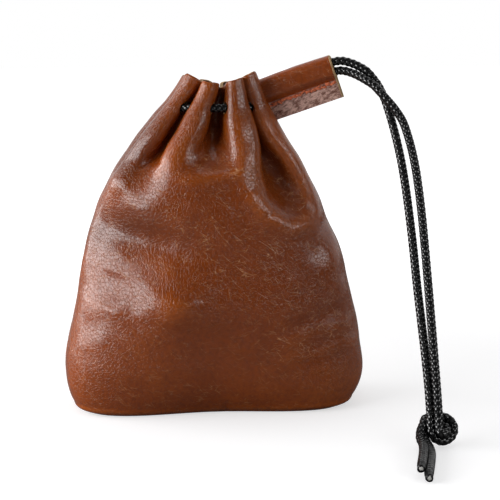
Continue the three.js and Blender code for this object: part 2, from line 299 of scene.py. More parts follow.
keeper_along = np.array([
    math.cos(keeper_tilt) * math.cos(keeper_yaw),
    -math.cos(keeper_tilt) * math.sin(keeper_yaw),
    math.sin(keeper_tilt),
])
keeper_back = np.array([math.sin(keeper_yaw), math.cos(keeper_yaw), 0.0])
keeper_up = np.cross(keeper_along, keeper_back)


def in_keeper(from_mouth, back, up):
    """Points measured from the middle of the mouth: along the keeper, backward and up."""
    return keeper_mouth - keeper_along * from_mouth + keeper_back * back + keeper_up * up


def run_point(side, from_mouth):
    """A point on a cord in the keeper: side is 1 for the upper cord and -1 for the lower."""
    return in_keeper(from_mouth, 0, side * run_pitch / 2)


# %% [markdown]
# ## The two free cord ends
# Both ends come straight out of the keeper, arch over, cross and hang down to the knot, about 150
# mm each. A hanging cord could be simulated, but its crossing and its bow are what the photograph
# shows, so its points are listed and only the braid is worked out. Each prints its own length.

# %% Free cord ends
strand_back = [
    (50.4, -8.4, 138.8), (53.7, -9.3, 138.0), (56.8, -10.7, 136.6), (59.6, -12.1, 134.8),
    (62.0, -13.2, 132.0), (64.0, -14.4, 129.0), (65.8, -15.6, 125.0), (67.2, -17.8, 120.2),
    (68.4, -21.0, 114.6), (69.5, -24.6, 108.2), (70.6, -28.3, 100.6), (71.5, -32.3, 91.6),
    (72.2, -36.5, 81.8), (72.8, -41.7, 70.0), (73.2, -47.5, 57.0), (73.8, -53.5, 44.0),
    (74.4, -59.5, 31.0), (74.7, -64.8, 19.6), (74.8, -68.0, 11.2),
]
strand_front = [
    (51.2, -9.1, 134.9), (54.2, -11.2, 134.0), (56.8, -13.5, 132.7), (59.2, -15.9, 131.2),
    (61.4, -17.6, 129.6), (63.6, -19.4, 127.1), (66.1, -20.9, 124.2), (69.0, -22.2, 120.6),
    (71.6, -24.3, 116.2), (73.6, -27.6, 109.2), (75.0, -31.6, 100.8), (75.8, -35.7, 91.8),
    (76.3, -40.1, 81.8), (76.6, -45.2, 70.0), (76.8, -50.9, 57.0), (76.9, -56.8, 44.0),
    (77.0, -62.6, 31.0), (77.1, -67.5, 19.6), (77.2, -70.4, 11.2),
]
mouth_margin = 1.0         # the free ends begin this far inside the keeper


def cord_piece(name, tubes, material):
    """One object from one or more braided tubes, with what its material reads stored on it."""
    piece = add_piece(name, *joined(tubes), [material])
    for number, value in enumerate(("sealed", "plait_height", "core"), start=2):
        add_value(piece, value, np.concatenate([tube[number] for tube in tubes]))
    return piece


free_routes = {}
for name, side, points in (("cord_back_end", 1, strand_back), ("cord_front_end", -1, strand_front)):
    start = [run_point(side, mouth_margin), run_point(side, -mouth_margin)]
    free_routes[name] = smooth_route([*start, *points], braid_step)
    print(name, "is", round(route_length(free_routes[name]), 1), "mm long")


# %% [markdown]
# ## Shader maths as plain expressions
# A finish is a sum of masks: creases, pebbles, stretched places. Wiring each Math node by hand
# hides the sum, so a small class wraps a node's output and turns +, - and * into Math nodes.
# Anything that isn't arithmetic comes from one method that takes the node's type, its settings and
# the values of its sockets.

# %% Wires and finishes
class Wire:
    """One number, colour or vector that runs between two nodes."""

    def __init__(self, finish, socket):
        self.finish = finish
        self.socket = socket

    def maths(self, operation, *values):
        return self.finish.node("ShaderNodeMath", {"operation": operation}, dict(enumerate(values)))

    def __add__(self, other):
        return self.maths("ADD", self, other)

    def __sub__(self, other):
        return self.maths("SUBTRACT", self, other)

    def __rsub__(self, other):
        return self.maths("SUBTRACT", other, self)

    def __mul__(self, other):
        return self.maths("MULTIPLY", self, other)

    __radd__ = __add__
    __rmul__ = __mul__

    def smooth(self, low, high):
        """0 below low, 1 above high and smooth between; low may be the greater."""
        return self.finish.node(
            "ShaderNodeMapRange",
            {"interpolation_type": "SMOOTHSTEP"},
            {"Value": self, "From Min": low, "From Max": high},
        )


class Finish:
    """A material and the nodes that make it."""

    def __init__(self, name):
        self.material = bpy.data.materials.new(name)
        self.material.use_nodes = True
        self.tree = self.material.node_tree
        self.shader = self.tree.nodes["Principled BSDF"]
        self.place = self.node("ShaderNodeTexCoord", output="Object")

    def node(self, kind, settings=None, values=None, output=0):
        made = self.tree.nodes.new(kind)
        for key, value in (settings or {}).items():
            setattr(made, key, value)
        for key, value in (values or {}).items():
            self.plug(made.inputs[key], value)
        return Wire(self, made.outputs[output])

    def plug(self, socket, value):
        if isinstance(value, Wire):
            self.tree.links.new(value.socket, socket)
        else:
            socket.default_value = value

    def set(self, **values):
        """Sets or links the shader's sockets: base_color is Base Color, and so on."""
        for key, value in values.items():
            socket = key.replace("_", " ").title().replace("Ior", "IOR")
            self.plug(self.shader.inputs[socket], value)

    def mix(self, share, first, second):
        """A colour that is first where share is 0 and second where it is 1."""
        values = {"Factor": share, 6: first, 7: second}    # 6 and 7 are the node's two colours
        return self.node("ShaderNodeMix", {"data_type": "RGBA"}, values, output=2)

    def stored(self, name):
        """A number that the mesh stores for each corner."""
        return self.node("ShaderNodeAttribute", {"attribute_name": name}, output="Fac")

    def vectors(self, operation, values, output=0):
        return self.node("ShaderNodeVectorMath", {"operation": operation}, values, output)

    def noise(self, size, detail=2.0, roughness=0.5, place=None, output="Fac"):
        """Soft noise whose blots are about size millimetres across, from 0 to 1."""
        values = {
            "Vector": place or self.place,
            "Scale": 1 / (size * MM),
            "Detail": detail,
            "Roughness": roughness,
        }
        return self.node("ShaderNodeTexNoise", None, values, output)

    def cells(self, size, feature, place):
        """Distance to the nearest cell point, or to the nearest cell edge, in cell sizes."""
        values = {"Vector": place, "Scale": 1 / (size * MM)}
        return self.node("ShaderNodeTexVoronoi", {"feature": feature}, values, "Distance")

    def warped(self, size, reach):
        """The place on the piece, pushed about by up to reach millimetres in blots of that size."""
        blots = self.noise(size, output="Color")
        centred = self.vectors("SUBTRACT", {0: blots, 1: (0.5, 0.5, 0.5)})
        pushed = self.vectors("SCALE", {0: centred, "Scale": reach * MM})
        return self.vectors("ADD", {0: self.place, 1: pushed})

    def stretched(self, turn, squeeze, place=None):
        """The place turned about the depth axis and squeezed, to draw streaks in one direction."""
        values = {"Vector": place or self.place, "Rotation": (0, turn, 0)}
        values["Scale"] = (1 / squeeze, 1, 1)
        return self.node("ShaderNodeMapping", {"vector_type": "TEXTURE"}, values)

    def relief(self, height, depth, under=None):
        """A bump of that depth in millimetres, laid over the one under it if there is one."""
        values = {"Height": height, "Distance": depth * MM, "Strength": 1.0}
        if under is not None:
            values["Normal"] = under
        return self.node("ShaderNodeBump", None, values)


# %% [markdown]
# ## Pull-up leather
# This leather is dyed dark, waxed and polished. Where it is pulled or folded the wax moves aside
# and the orange base shows, so crests and corners are lighter and warmer than the flats. In hollows
# and by the mouth the colour is darkened toward a deep brown, which is painted shade. Fine creases
# catch the light colour in short arcs that run the same way within a patch and another way in the
# next. Close to, the polish is cracked into small islands, which breaks every reflection into
# crumbs.
# Creases like these are the edges between long thin cells, so one expression draws them. Three sets
# run three ways, each in its own patches, and feed both colour and relief.

# %% Leather
leather_dark = (0.280, 0.050, 0.0025, 1)
leather_warm = (0.42, 0.085, 0.0030, 1)
leather_crease = (0.62, 0.27, 0.11, 1)
# this brown colours the real specks and also the painted shade in hollows and by the mouth
stain_and_shade_brown = (0.10, 0.018, 0.003, 1)
rubbed_dark = (0.17, 0.060, 0.038, 1)
rubbed_light = (0.82, 0.52, 0.43, 1)
calm_creases = 0.55        # strength of the creases where nothing crumpled the leather
crease_share = 0.55        # how far a crease takes on its own colour
# how far the painted shade darkens hollows and the mouth
painted_shade_share = 0.75
speck_share = 0.40
scuff_share = 0.85
swell_relief = 0.12        # depths of the reliefs in millimetres
crease_relief = 0.058
scuff_relief = 0.35
# size in millimetres, thickness, turn in radians, squeeze, turn of its patches against the lines
crease_sets = (
    (2.2, 0.048, 0.72, 0.14, 0.0),
    (1.8, 0.052, 0.05, 0.14, 0.3),
    (1.6, 0.052, -0.45, 0.16, 0.6),
)


def crease_lines(finish, size, width, turn, squeeze, patch):
    """The edges of long cells, 1 on the edge, in patches of their own."""
    place = finish.stretched(turn, squeeze, finish.warped(size * 5.0, size * 0.7))
    line = finish.cells(size, "DISTANCE_TO_EDGE", place).smooth(width, 0.0)
    patches = finish.noise(3.0, 4.0, 0.7, place=finish.stretched(turn + patch, 0.5))
    return line * patches.smooth(0.46, 0.62)


def leather(name, gloss, crackle):
    """Polished leather that reads from the mesh where it is stretched, crumpled and rubbed."""
    finish = Finish(name)
    stretch = finish.stored("stretch")
    crumple = finish.stored("crumple")
    scuff = finish.stored("scuff")
    # stored darkening: painted shade in hollows and by the mouth, which also takes the warmth away
    painted_shade = finish.stored("painted_shade")
    lines = 0
    for crease_set in crease_sets:
        lines = crease_lines(finish, *crease_set) + lines
    lines = lines * (calm_creases + crumple)
    cloud = finish.noise(34, 3.0, 0.6)
    warmth = (stretch + cloud.smooth(0.35, 0.75) * 0.5).smooth(0.1, 1.25) * (1 - painted_shade)
    colour = finish.mix(warmth, leather_dark, leather_warm)
    # painted shade: hollows and the mouth are darkened toward the deep brown
    colour = finish.mix(painted_shade * painted_shade_share, colour, stain_and_shade_brown)
    specks = finish.noise(1.3, 3.0, 0.6).smooth(0.35, 0.75)
    colour = finish.mix(specks * speck_share, colour, stain_and_shade_brown)
    colour = finish.mix((lines * crease_share).smooth(0.0, 1.0), colour, leather_crease)
    fluff = finish.noise(1.1, 4.0, 0.7, place=finish.stretched(-0.5, 0.45))
    rubbed = finish.mix(fluff.smooth(0.35, 0.62), rubbed_dark, rubbed_light)
    colour = finish.mix(scuff * scuff_share, colour, rubbed)
    islands = finish.cells(1.3, "DISTANCE_TO_EDGE", finish.warped(1.5, 1.2)).smooth(0.0, 0.10)
    pebble = finish.cells(0.9, "SMOOTH_F1", finish.warped(2.5, 0.9))
    bump = finish.relief(finish.noise(6.5), swell_relief)
    bump = finish.relief(islands * 0.8 + pebble * 0.25, crackle, bump)
    bump = finish.relief(lines, crease_relief, bump)
    bump = finish.relief(fluff * scuff, scuff_relief, bump)
    roughness = gloss + 0.06 * finish.noise(16) + 0.05 * lines + 0.25 * scuff
    finish.set(base_color=colour, roughness=roughness, normal=bump, specular_ior_level=0.7)
    return finish.material


pouch_leather = leather("pouch_leather", gloss=0.14, crackle=0.060)
keeper_leather = leather("keeper_leather", gloss=0.19, crackle=0.03)

# %% [markdown]
# ## Cut edges and the inside
# The leather isn't dyed through. Every cut shows its pale middle: the rim, the punched holes, the
# ends of the keeper. The inside is the flesh side, brown and matt like suede, because the bag was
# turned after sewing.

# %% Raw leather
edge_pale = (0.72, 0.50, 0.27, 1)
edge_deep = (0.42, 0.24, 0.11, 1)
flesh_pale = (0.20, 0.085, 0.040, 1)
flesh_deep = (0.085, 0.034, 0.017, 1)
fibre_relief = 0.12


def fibrous(name, pale, deep, fibre, roughness):
    """A matt finish of fibres that are fibre millimetres wide; the stitches' thread has it too."""
    finish = Finish(name)
    fibres = finish.noise(fibre, 4.0, 0.7)
    finish.set(base_color=finish.mix(fibres.smooth(0.3, 0.75), deep, pale))
    finish.set(roughness=roughness + 0.1 * fibres, normal=finish.relief(fibres, fibre_relief))
    return finish.material


cut_edge = fibrous("cut_edge", edge_pale, edge_deep, fibre=0.6, roughness=0.75)
flesh_side = fibrous("flesh_side", flesh_pale, flesh_deep, fibre=0.9, roughness=0.85)

# %% [markdown]
# ## Waxed cord
# The braid is black and waxed. Wax sits thick between the plaits and is rubbed thin on their backs,
# so the backs are the shiniest part. The crevices between the plaits are also painted darker than
# the backs: painted shade. Each plait is a bundle of fine yarns, which show as faint lines in the
# wax.
# The cut ends were melted, which leaves them smooth and dull, with the white core of the cord in
# the middle.

# %% Cord finish
# the first black is painted shade in the crevices between the plaits
crevice_shade_black = (0.0008, 0.0008, 0.0009, 1)
plait_black = (0.004, 0.004, 0.0045, 1)
melted_black = (0.004, 0.004, 0.005, 1)
core_white = (0.62, 0.61, 0.58, 1)
yarn_relief = 0.03


def waxed_cord():
    finish = Finish("waxed_cord")
    back = finish.stored("plait_height")
    sealed = finish.stored("sealed")
    # painted shade: the crevices between the plaits are darker than their backs
    shade = finish.mix(back, crevice_shade_black, plait_black)
    shade = finish.mix(sealed, shade, melted_black)
    ragged = finish.stored("core") + 1.3 * finish.noise(0.7, 4.0)
    shade = finish.mix(ragged.smooth(1.10, 1.20), shade, core_white)
    yarns = finish.relief(finish.noise(0.22), yarn_relief)
    finish.set(base_color=shade, roughness=0.55 - 0.15 * back, normal=yarns)
    rubbed = finish.noise(1.5).smooth(0.28, 0.52)
    glint = back.smooth(0.55, 0.9) * rubbed * (1 - sealed) + 0.12 * sealed
    finish.set(specular_ior_level=0.14, coat_weight=glint, coat_ior=1.9, coat_roughness=0.15)
    return finish.material


waxed_black = waxed_cord()

for name, node in (("cord_back_end", "cord_strand_back"), ("cord_front_end", "cord_strand_front")):
    piece = cord_piece(name, [braided_tube(free_routes[name])], waxed_black)
    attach(piece, "root")
    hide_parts(node)


# %% [markdown]
# ## The bag's form
# The real bag is two pieces of leather sewn at the sides and bottom and turned, so it is one soft
# skin. It is described the way a dressmaker would: a table of sections from the floor up, and a
# table of the eight pleats round the mouth. Between two rows of the table the sizes change
# smoothly. The plain model has nearly the same tables and few corners; here the skin is fine enough
# for the small folds that follow.

# %% Sections and pleats
bag_width = 121.4
bag_depth = 57.0
bag_height = 132.5
leather_wall = 1.4
rim_crest_lift = 2.8
rim_valley_drop = 3.0
cord_drop = 11.6           # rim down to the line of holes
cord_up = 1 - cord_drop / bag_height

# up: share of bag_height; wide, deep: shares of half of bag_width and bag_depth
# square: 2 is an ellipse; waist: share that front and back draw in
# lean: how far the section lies to the right, as a share of half of bag_width
section_names = ("up", "wide", "deep", "square", "waist", "lean")
sections = np.array([
    (0.000, 0.855, 0.86, 3.6, 0.24, -0.013),
    (0.009, 0.910, 0.92, 3.5, 0.22, -0.013),
    (0.030, 0.947, 0.96, 3.3, 0.18, -0.011),
    (0.068, 0.985, 0.99, 3.1, 0.12, -0.005),
    (0.121, 1.000, 1.00, 2.9, 0.07, 0.000),
    (0.204, 0.976, 1.00, 2.7, 0.03, -0.002),
    (0.306, 0.933, 0.99, 2.5, 0.00, -0.002),
    (0.408, 0.892, 0.97, 2.4, 0.00, 0.000),
    (0.502, 0.843, 0.95, 2.3, 0.00, -0.007),
    (0.577, 0.775, 0.92, 2.3, 0.00, -0.023),
    (0.649, 0.725, 0.89, 2.2, 0.00, -0.027),
    (0.709, 0.677, 0.85, 2.2, 0.00, -0.033),
    (0.766, 0.618, 0.80, 2.1, 0.00, -0.025),
    (0.819, 0.541, 0.74, 2.1, 0.00, -0.017),
    (0.868, 0.472, 0.68, 2.0, 0.00, -0.003),
    (0.912, 0.402, 0.61, 2.0, 0.00, 0.010),
    (0.960, 0.323, 0.58, 2.0, 0.00, 0.027),
    (1.000, 0.272, 0.56, 2.0, 0.00, 0.037),
])
waist_focus = 6

# rim, foot: degrees from the front to the right; tall: share of rim_crest_lift
# wrap, wrap_rim: how far the leather turns into the valley after the crest
# fade, full: shares of bag_height between which that valley grows
# flat: how much wider the crests are than the valley; deep: share of the full depth of that valley
crest_turns_from = 0.63
pleat_names = ("rim", "foot", "tall", "wrap", "wrap_rim", "fade", "full", "flat", "deep")
pleats = [dict(zip(pleat_names, row)) for row in (
    (-52, -64, 0.75, 104, 106, 0.62, 0.84, 0.55, 0.75),
    (-17, -22, -0.45, 94, 96, 0.68, 0.88, 0.45, 1.05),
    (20, 19, -0.05, 114, 118, 0.55, 0.86, 0.76, 0.90),
    (52, 64, 1.00, 70, 60, 0.58, 0.90, 0.30, 1.00),
    (129, 116, 0.30, 88, 88, 0.52, 0.86, 0.45, 1.00),
    (163, 158, -0.90, 92, 92, 0.64, 0.90, 0.45, 0.80),
    (196, 202, -0.60, 90, 90, 0.56, 0.88, 0.45, 0.80),
    (233, 246, 0.20, 70, 62, 0.60, 0.90, 0.30, 1.00),
)]


def section_at(up):
    """The sizes of the section at a height, on a smooth curve through the table."""
    heights = sections[:, 0]
    row = int(np.clip(np.searchsorted(heights, up) - 1, 0, len(sections) - 2))
    slopes = np.gradient(sections, heights, axis=0)
    gap = heights[row + 1] - heights[row]
    share = (up - heights[row]) / gap
    values = hermite(*sections[row : row + 2], *(slopes[row : row + 2] * gap), share)
    return dict(zip(section_names, values))


def outline_at(section, degrees):
    """Points on the outline through the crests, and the directions that they face, as x and y."""
    half_wide = section["wide"] * bag_width / 2
    half_deep = section["deep"] * bag_depth / 2
    power = section["square"]
    s, c = np.sin(np.radians(degrees)), np.cos(np.radians(degrees))
    reach = (np.abs(s) ** power + np.abs(c) ** power) ** (-1 / power)
    drawn_in = 1 - section["waist"] * c**waist_focus
    lean = section["lean"] * bag_width / 2
    point = np.stack([half_wide * reach * s + lean, -half_deep * reach * c * drawn_in], axis=-1)
    facing = np.stack([
        np.sign(s) * np.abs(s) ** (power - 1) / half_wide,
        -np.sign(c) * np.abs(c) ** (power - 1) / half_deep,
    ], axis=-1)
    return point, facing / np.linalg.norm(facing, axis=-1)[..., None]


# %% [markdown]
# ## One pleat
# Seen from above, drawn-up leather swings from side to side like a river: straight at the crest,
# turning most steeply half way down the flank, and straight again in the valley. A curve whose
# direction is a sine of the length along it has that look, and keeps its length when it swings, as
# leather does.

# %% Pleats and rings
swing_steps = 400
width_steps = 9
steps_per_pleat = 34
seam_pleats = (3, 7)       # the side seams lie in the valleys after these
seam_steps = (-0.022, -0.014, -0.008, -0.004, 0.0, 0.004, 0.008, 0.014, 0.022)
seam_clear = 0.028         # no other corners lie this near a seam, as a share of the pleat

pleat_steps = []           # for each pleat, the places along it that get a corner
for number in range(len(pleats)):
    places = np.linspace(0, 1, steps_per_pleat, endpoint=False)
    if number in seam_pleats:
        clear = np.abs(places - 0.5) > seam_clear
        places = np.sort(np.concatenate([places[clear], 0.5 + np.array(seam_steps)]))
    pleat_steps.append(places)
columns = sum(len(places) for places in pleat_steps)


def pleat_swing(wrap, flat, places):
    """How far along the outline and how far inward the leather is, as shares of the pleat."""
    middle = (np.arange(swing_steps) + 0.5) / swing_steps
    middle = middle - flat * np.sin(middle * math.tau) / math.tau
    turn = math.radians(wrap) * np.sin(middle * math.tau)
    along = np.concatenate([[0], np.cumsum(np.cos(turn))])
    inward = np.concatenate([[0], np.cumsum(np.sin(turn))])
    marks = np.arange(swing_steps + 1) / swing_steps
    total = along[-1]
    return np.interp(places, marks, along) / total, np.interp(places, marks, inward) / total


def bag_ring(up):
    """All the corners round the bag at one height."""
    section = section_at(up)
    rimward = float(ease(up, cord_up, 1))
    upward = float(ease(up, crest_turns_from, 1))
    corners = []
    for number, pleat in enumerate(pleats):
        after = pleats[(number + 1) % len(pleats)]
        start = pleat["foot"] + (pleat["rim"] - pleat["foot"]) * upward
        end = after["foot"] + (after["rim"] - after["foot"]) * upward
        end += 360 if number + 1 == len(pleats) else 0
        grown = float(ease(up, pleat["fade"], pleat["full"]))
        wrap = grown * (pleat["wrap"] + (pleat["wrap_rim"] - pleat["wrap"]) * rimward)
        flat = pleat["flat"] * grown
        along, inward = pleat_swing(wrap, flat, pleat_steps[number])
        inward = inward * (1 - grown * (1 - pleat["deep"]))
        edge, _ = outline_at(section, np.linspace(start, end, width_steps))
        width = np.linalg.norm(np.diff(edge, axis=0), axis=1).sum()
        point, facing = outline_at(section, start + (end - start) * along)
        deepest = inward.max()
        lift = rim_crest_lift * (pleat["tall"] + (after["tall"] - pleat["tall"]) * along)
        drop = rim_valley_drop * inward / deepest if deepest > 1e-6 else 0 * inward
        swung = point - facing * (inward * width)[:, None]
        height = up * bag_height + rimward * (lift - drop)
        corners.append(np.column_stack([swung, height]))
    return np.vstack(corners)


# %% [markdown]
# ## Soft folds
# A filled bag is never as smooth as its sections. The photograph shows broad planes that meet in
# soft ridges, a ledge where each valley runs out, and small creases low at the right. Each is a
# line on the front of the bag with a width at both ends, like a fold pressed by a fingertip. A
# ridge stands out along its line. A tilt stands out below its line and lies back above it, which
# turns a whole patch of leather upward, and that is what makes the broad highlight at the left. The
# back gets its folds from the same table, mirrored, drawn wider and about half as strong.

# %% Fold table
# from and to: places on the front, across and up; height: out, or in where it is negative
# tilt: 0 for a ridge or a hollow, 1 for a tilted patch
fold_names = ("from_x", "from_z", "to_x", "to_z", "width_from", "width_to", "height", "tilt")
folds = [dict(zip(fold_names, row)) for row in (
    (-54, 51, -8, 55, 16.0, 8.0, 2.0, 1),      # the broad left plane
    (-31, 40, -27, 54, 13.0, 13.0, 1.8, 1),    # its right end, where it turns to the left
    (-48, 77, -16, 67, 8.0, 6.5, -3.4, 0),     # hollow above it
    (-13, 110, -22, 100, 2.6, 4.0, 1.3, 0),    # left edge of the second pleat, running on
    (-22, 100, -33, 92, 4.0, 5.0, 2.0, 0),
    (-30, 95, -42, 89, 5.0, 5.0, 1.2, 0),
    (-28, 106, -38, 98, 4.0, 4.0, -1.5, 0),    # bowl of the first valley
    (-14, 94, 8, 96, 3.4, 3.0, 1.2, 0),        # ledge under the middle valley
    (-5, 103, 6, 103, 4.5, 4.5, -0.9, 0),
    (8, 104, 11, 89, 3.0, 4.0, 1.0, 0),        # lip round the bowl of the right valley
    (11, 89, 19, 80, 4.2, 4.4, 1.7, 0),
    (19, 80, 28, 75, 4.4, 4.2, 1.6, 0),
    (28, 75, 39, 77, 4.2, 4.0, 1.2, 0),
    (20, 102, 30, 84, 5.0, 5.5, -1.6, 0),
    (23, 112, 33, 92, 3.0, 3.0, 0.9, 0),       # crest of the fourth pleat, running on
    (33, 92, 41, 79, 3.0, 3.4, 1.0, 0),
    (46, 76, 38, 60, 4.0, 5.0, -0.9, 0),       # right side below the bowl
    (16, 54, 50, 62, 9.0, 7.0, 0.5, 1),
    (22, 44, 54, 50, 6.0, 4.0, 0.3, 1),
    (14, 30, 52, 37, 4.0, 2.6, 0.26, 1),       # creases low at the right
    (24, 25, 55, 29, 2.6, 2.0, 0.18, 1),
    (32, 36, 54, 44, 2.2, 1.8, -0.25, 0),
    (34, 19, 56, 24, 2.4, 2.2, -0.25, 0),
    (-56, 26, -20, 30, 9.0, 9.0, 0.3, 1),      # lower left
    (-20, 18, 22, 14, 9.0, 9.0, 0.5, 0),
    (3, 0, 3, 5, 0.9, 0.7, -0.8, 0),           # nick in the bottom seam
)]
back_squeeze = -0.55       # places on the back are squeezed and mirrored by this to look up a fold
back_strength = 0.55       # share of the height that it has there
fold_end_loss = 0.55       # share of its height that a fold has lost at both ends
side_fade = (2.0, 12.0)    # a face's folds grow between these distances from the side seams' plane


def beside_line(x, z, row):
    """The share along a row's line, the distance off it and the distance below it, for corners."""
    across, up = x - row["from_x"], z - row["from_z"]
    run_x, run_z = row["to_x"] - row["from_x"], row["to_z"] - row["from_z"]
    length = math.hypot(run_x, run_z)
    share = np.clip((across * run_x + up * run_z) / length**2, 0, 1)
    off = np.hypot(across - share * run_x, up - share * run_z)
    return share, off, (run_z * across - run_x * up) / length


def fold_heights(x, y, z):
    """How far the folds push the skin out at each corner."""
    push = np.zeros_like(x)
    for fold in folds:
        for facing, squeeze, strength in ((-1, 1.0, 1.0), (1, back_squeeze, back_strength)):
            share, off, below = beside_line(x * squeeze, z, fold)
            width = fold["width_from"] + (fold["width_to"] - fold["width_from"]) * share
            away = off / width
            shape = np.exp(-(away**2))
            if fold["tilt"]:
                shape = below / width * np.exp(0.5 - away**2 / 2)
            ends = 1 - fold_end_loss * (2 * share - 1) ** 2
            side = ease(facing * y, *side_fade)
            push += fold["height"] * strength * ends * side * shape
    return push


def swelling(points, size, seed):
    """Slow random swelling of the skin, from about -1 to 1, in blots of size millimetres."""
    offset = Vector((seed * 7.3, seed * 3.1, seed * 1.7))
    return np.array([noise.noise(Vector(p) / size + offset) for p in points])


# %% [markdown]
# ## Weaving the skin
# The outside is a grid of corners, ring over ring. Each corner is pushed along the direction its
# patch faces: by the folds, by slow swelling, and inward along the two side seams, where the thread
# pulls the leather in and puckers it. The inside is the same grid, one wall's thickness further in
# and coarser. The rim between them is cut leather, with a narrow band along both edges so that they
# don't look sharp.

# %% The bag's mesh
outer_rows = 190
row_crowding = 1.12        # above 1 the rows are closer near the floor
inner_skip = 4             # the inside has every fourth row
rim_round = 0.25           # width of the band along each edge of the rim
floor_rings = 6
swell_from = (0.5, 14.0)   # heights between which the skin begins to swell
held_from = (96.0, 120.0)  # heights between which the pleats begin to hold it
held_folds = 0.25          # share of the folds that is left where they hold it
# size, seed and height of the slow swelling, which ends where the pleats hold it, and the small one
swellings = ((24.0, 1, 0.9), (9.0, 2, 0.32))
seam_depth = 0.75
seam_width = 0.9
pucker_pitch = 3.0
pucker_share = 0.35


def grid_facing(grid):
    """The outward direction at each corner of a closed grid."""
    round_way = np.roll(grid, -1, axis=1) - np.roll(grid, 1, axis=1)
    up_way = np.gradient(grid, axis=0)
    facing = np.cross(round_way, up_way)
    return facing / np.linalg.norm(facing, axis=2)[:, :, None]


def bag_skin():
    """The outside of the bag as a grid of corners, from the floor to the rim."""
    grid = np.array([bag_ring(up) for up in np.linspace(0, 1, outer_rows) ** row_crowding])
    facing = grid_facing(grid)
    flat = grid.reshape(-1, 3)
    x, y, z = flat.T
    free = 1 - ease(z, *held_from)
    push = fold_heights(x, y, z) * (held_folds + (1 - held_folds) * free)
    slow, small = (height * swelling(flat, size, seed) for size, seed, height in swellings)
    push += ease(z, *swell_from) * (slow * free + small)
    seams = np.zeros(grid.shape[:2])
    first = 0
    for number, places in enumerate(pleat_steps):
        if number in seam_pleats:
            middle = first + int(np.argmin(np.abs(places - 0.5)))
            for column in range(first, first + len(places)):
                away = np.linalg.norm(grid[:, column, :2] - grid[:, middle, :2], axis=1)
                pucker = 1 + pucker_share * np.sin(grid[:, middle, 2] / pucker_pitch * math.tau)
                seams[:, column] = seam_depth * np.exp(-((away / seam_width) ** 2)) * pucker
        first += len(places)
    push = push.reshape(grid.shape[:2]) - seams
    grid = grid + facing * push[:, :, None]
    grid[0, :, 2] = 0.0
    grid[:, :, 2] = np.maximum(grid[:, :, 2], 0.0)
    return grid


def bag_mesh():
    """Corners, faces and a material number for each face: 0 outside, 1 cut, 2 inside."""
    outside = bag_skin()
    facing = grid_facing(outside)
    rows = [*range(0, outer_rows - 1, inner_skip), outer_rows - 1]
    inside = outside[rows] - facing[rows] * leather_wall
    inside[0, :, 2] = leather_wall
    for skin in (outside, inside):
        skin[-1, :, 2] -= rim_round
    rim, rim_facing = outside[-1], facing[-1]
    lip = [rim - rim_facing * rim_round, rim - rim_facing * (leather_wall - rim_round)]
    shares = np.linspace(0, 1, floor_rings)[1:-1]
    floor_out = [outside[0] * np.array([share, share, 0]) for share in shares]
    floor_in = [inside[0] * np.array([share, share, 1]) for share in shares]
    skins = [np.array([*floor_out, *outside]), np.array([*floor_in, *inside]), np.array(lip)]
    corners = np.vstack([skin.reshape(-1, 3) for skin in skins])
    in_first = len(skins[0]) * columns
    lip_first = in_first + len(skins[1]) * columns
    rings = [in_first - columns, lip_first, lip_first + columns, lip_first - columns]
    parts = [
        (0, grid_faces(0, len(skins[0]), columns)),
        (2, grid_faces(in_first, len(skins[1]), columns, flip=True)),
        *[(1, band_faces(below, above, columns)) for below, above in zip(rings, rings[1:])],
        (0, fan_faces(len(corners), 0, columns, flip=True)),
        (2, fan_faces(len(corners) + 1, in_first, columns)),
    ]
    corners = np.vstack([corners, [0, 0, 0], [0, 0, leather_wall]])
    faces = [face for _, own in parts for face in own]
    return corners, faces, [kind for kind, own in parts for _ in own]


corners, faces, kinds = bag_mesh()
bag = add_piece("bag", corners, faces, [pouch_leather, cut_edge, flesh_side], kinds)
print("bag has", len(bag.data.polygons), "faces")

# %% [markdown]
# ## The drawcord's way
# The cord goes in through the keeper, round the mouth through every pleat and back out, so each
# pleat needs a hole on each of its flanks. On the real bag the holes are punched in flat leather,
# and they line up because the cord lines them up. So the cord's route is laid first, and a tube
# along it cuts the holes.

# %% Drawcord and punched holes
cord_inset = 4.6           # from the crests in to the cord
loop_turn_off = 38         # degrees from the front, and from the back, where the way round begins
loop_turn_in = 0.74        # where the cord turns down to it, as a share of half of its width
loop_left_in = 0.14        # the cord lies this much further in at the left seam
loop_points = 22
hole_radius = 2.35
punch_step = 1.2
punch_sides = 20

gather = section_at(cord_up)
cord_level = cord_up * bag_height
gather_middle = gather["lean"] * bag_width / 2
gather_wide = gather["wide"] * bag_width / 2 - cord_inset
gather_deep = gather["deep"] * bag_depth / 2 - cord_inset


def keeper_run(side):
    """Points along one cord in the keeper, from its mouth to a little past its inner end."""
    places = mouth_margin + (keeper_length - mouth_margin) * np.array([0, 1 / 3, 2 / 3, 1])
    return [run_point(side, place) for place in [*places, keeper_length + mouth_margin]]


def turn_points(side):
    """From the keeper's inner end down to the line of holes: x, y and a share of the rise."""
    turn_place = gather_middle + loop_turn_in * gather_wide
    rise = run_point(side, keeper_length)[2] - cord_level
    steps = ((0.8, 1.1, 0.56), (0.0, 3.2, 0.30), (0.0, 5.8, 0.10), (-0.4, 8.6, 0.01))
    return [np.array([turn_place + x, side * y, cord_level + rise * up]) for x, y, up in steps]


def drawcord_points():
    turns = np.radians(np.linspace(loop_turn_off, -180 - loop_turn_off, loop_points + 1))
    level = np.full(len(turns), cord_level)
    reach = gather_wide * (1 - loop_left_in * np.clip(-np.sin(turns), 0, 1) ** 4)
    across = gather_middle + reach * np.sin(turns)
    around = np.column_stack([across, -gather_deep * np.cos(turns), level])
    front = [*keeper_run(-1), *turn_points(-1)]
    back = [*keeper_run(1), *turn_points(1)]
    return [*front, *around, *back[::-1]]


